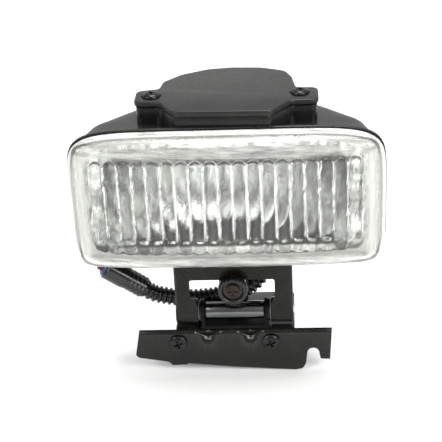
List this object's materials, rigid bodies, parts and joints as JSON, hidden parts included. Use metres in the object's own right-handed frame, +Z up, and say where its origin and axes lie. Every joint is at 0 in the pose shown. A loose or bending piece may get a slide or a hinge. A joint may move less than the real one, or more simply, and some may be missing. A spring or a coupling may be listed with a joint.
{
  "type": "fog light",
  "caption": "Rectangular fog light with fluted glass lens, top access cover, hinged steel yoke, aiming screw and mounting bracket.",
  "frame": {"origin": "underside of the mounting bracket's web, midway between its two bolt holes", "axes": "+X to the lamp's left as it faces forward (the viewer's right), +Y to the rear, +Z up; the lens faces -Y"},
  "size_m": [0.1636, 0.09, 0.1646],
  "materials": {
    "clear_glass": "clear pressed glass, smooth outside",
    "black_housing": "moulded, glossy",
    "silvered_reflector": "vacuum metallised",
    "black_steel": "black e-coat, satin",
    "zinc_steel": "zinc plated",
    "dark_fastener": "black oxide",
    "yellow_zinc": "yellow passivated zinc",
    "black_rubber": "matt",
    "white_sealant": "satin",
    "nylon": "natural nylon",
    "black_nylon": "corrugated, satin",
    "blue_plastic": "satin",
    "blue_wire": "PVC insulation",
    "bulb_quartz": "clear quartz",
    "tungsten": "dark wire",
    "tinned_brass": "tinned"
  },
  "bodies": {
    "base": {"mounting_bracket": "black_steel", "pivot_clevis": "black_steel", "clevis_rivets": "dark_fastener", "pivot_tube": "zinc_steel", "pivot_pin": "zinc_steel", "friction_washers": "dark_fastener", "clamp_strip": "black_steel", "clamp_screws": "dark_fastener", "nut_post": "black_steel", "post_rivet": "dark_fastener", "adjuster_nut": "yellow_zinc"},
    "lamp": {"lens": "clear_glass", "lens_gasket": "white_sealant", "housing": "black_housing", "reflector": "silvered_reflector", "bulb_glass": "bulb_quartz", "bulb_filament": "tungsten", "bulb_base": "zinc_steel", "lead_terminal": "nylon", "power_lead": "blue_wire", "earth_lead": "black_rubber", "access_cover": "black_housing", "cover_gasket": "black_rubber", "cover_screws": "dark_fastener", "breather_cap": "black_rubber", "yoke": "black_steel", "yoke_screws": "zinc_steel", "pivot_bushings": "nylon", "aim_socket": "nylon", "cable_grommet": "black_rubber", "conduit": "black_nylon", "connector_body": "black_nylon", "connector_lock": "blue_plastic", "connector_terminals": "tinned_brass"},
    "bulb_clip": {"bulb_clip": "zinc_steel"},
    "aim_carriage": {"aim_ball": "nylon"},
    "adjuster": {"aim_screw": "yellow_zinc", "aim_knob": "black_housing"}
  },
  "joints": [
    {"name": "aim_tilt", "type": "hinge", "parent": "base", "child": "lamp", "pos_m": [0, -0.023, 0.0108], "axis": [1, 0, 0], "range_deg": [-8, 8]},
    {"name": "aim_travel", "type": "slide", "parent": "base", "child": "aim_carriage", "axis": [0, 1, 0], "range_m": [-0.0029, 0.0029]},
    {"name": "aim_spin", "type": "hinge", "parent": "aim_carriage", "child": "adjuster", "pos_m": [0, -0.023, 0.03], "axis": [0, 1, 0], "range_deg": [-980, 980]},
    {"name": "bulb_clip_swing", "type": "hinge", "parent": "lamp", "child": "bulb_clip", "pos_m": [0, 0.0014, 0.0772], "axis": [-1, 0, 0], "range_deg": [0, 30]}
  ],
  "couplings": [
    {"joint": "aim_travel", "follows": "aim_tilt", "m_per_rad": -0.0192},
    {"joint": "aim_spin", "follows": "aim_tilt", "ratio": -120.64}
  ]
}
